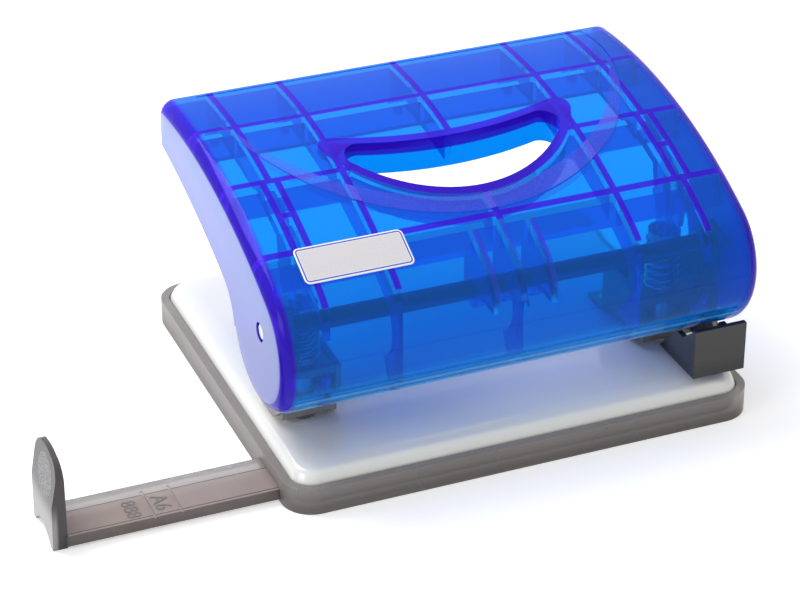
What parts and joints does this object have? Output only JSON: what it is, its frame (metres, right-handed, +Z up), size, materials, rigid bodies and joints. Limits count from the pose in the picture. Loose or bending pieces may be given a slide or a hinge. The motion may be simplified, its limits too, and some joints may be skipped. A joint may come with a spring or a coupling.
{
  "type": "two-hole paper drill",
  "caption": "Desk paper drill with a translucent moulded lever over spring-returned punches, a painted base plate on a chip tray, a sliding paper guide and a push-in handle lock.",
  "frame": {"origin": "on the desk, under the middle of the chip tray", "axes": "+Z up, +X along the lever's width towards the handle lock, +Y from the hinge towards the end of the lever that is pressed down"},
  "size_m": [0.1485, 0.088, 0.0578],
  "materials": {
    "smoky_plastic": "smoky grey-brown translucent, satin",
    "guide_plastic": "smoky dark grey, satin",
    "white_paint": "white gloss paint",
    "blue_plastic": "clear blue, glossy",
    "label_film": "light grey film",
    "black_plastic": "black, glossy",
    "dark_steel": "dark burnished steel sheet",
    "bright_steel": "bright turned steel",
    "spring_steel": "spring wire",
    "zinc": "cast, dull"
  },
  "bodies": {
    "tray": {"chip_tray": "smoky_plastic"},
    "guide": {"paper_guide": "guide_plastic"},
    "punch_frame": {"base_plate": "white_paint", "left_bracket": "dark_steel", "right_bracket": "dark_steel", "left_bracket_rivets": "bright_steel", "right_bracket_rivets": "bright_steel", "left_die": "bright_steel", "right_die": "bright_steel", "left_punch_guide": "zinc", "right_punch_guide": "zinc", "hinge_rod": "bright_steel", "rod_washers": "spring_steel", "lock_rivet": "bright_steel", "left_punch_spring": "spring_steel", "right_punch_spring": "spring_steel"},
    "lever": {"lever_handle": "blue_plastic", "label_plate": "label_film"},
    "left_punch": {"left_punch_pin": "bright_steel", "left_punch_clip": "spring_steel"},
    "right_punch": {"right_punch_pin": "bright_steel", "right_punch_clip": "spring_steel"},
    "lock": {"handle_lock": "black_plastic"}
  },
  "joints": [
    {"name": "tray_release", "type": "slide", "parent": "tray", "child": "punch_frame", "axis": [0, 0, 1], "range_m": [0, 0.012]},
    {"name": "lever_hinge", "type": "hinge", "parent": "punch_frame", "child": "lever", "pos_m": [0, -0.029, 0.0346], "axis": [-1, 0, 0], "range_deg": [0, 25], "stiffness_Nm_per_rad": 0.2, "springref_deg": -17.19},
    {"name": "left_punch_slide", "type": "slide", "parent": "punch_frame", "child": "left_punch", "axis": [0, 0, -1], "range_m": [0, 0.0037], "deforming": ["left_punch_spring"]},
    {"name": "right_punch_slide", "type": "slide", "parent": "punch_frame", "child": "right_punch", "axis": [0, 0, -1], "range_m": [0, 0.0037], "deforming": ["right_punch_spring"]},
    {"name": "guide_slide", "type": "slide", "parent": "tray", "child": "guide", "axis": [-1, 0, 0], "range_m": [-0.0422, 0.0115]},
    {"name": "lock_slide", "type": "slide", "parent": "punch_frame", "child": "lock", "axis": [0, 1, 0], "range_m": [0, 0.0015]}
  ],
  "couplings": [
    {"joint": "left_punch_slide", "follows": "lever_hinge", "m_per_rad": 0.008433},
    {"joint": "right_punch_slide", "follows": "lever_hinge", "m_per_rad": 0.008433}
  ]
}
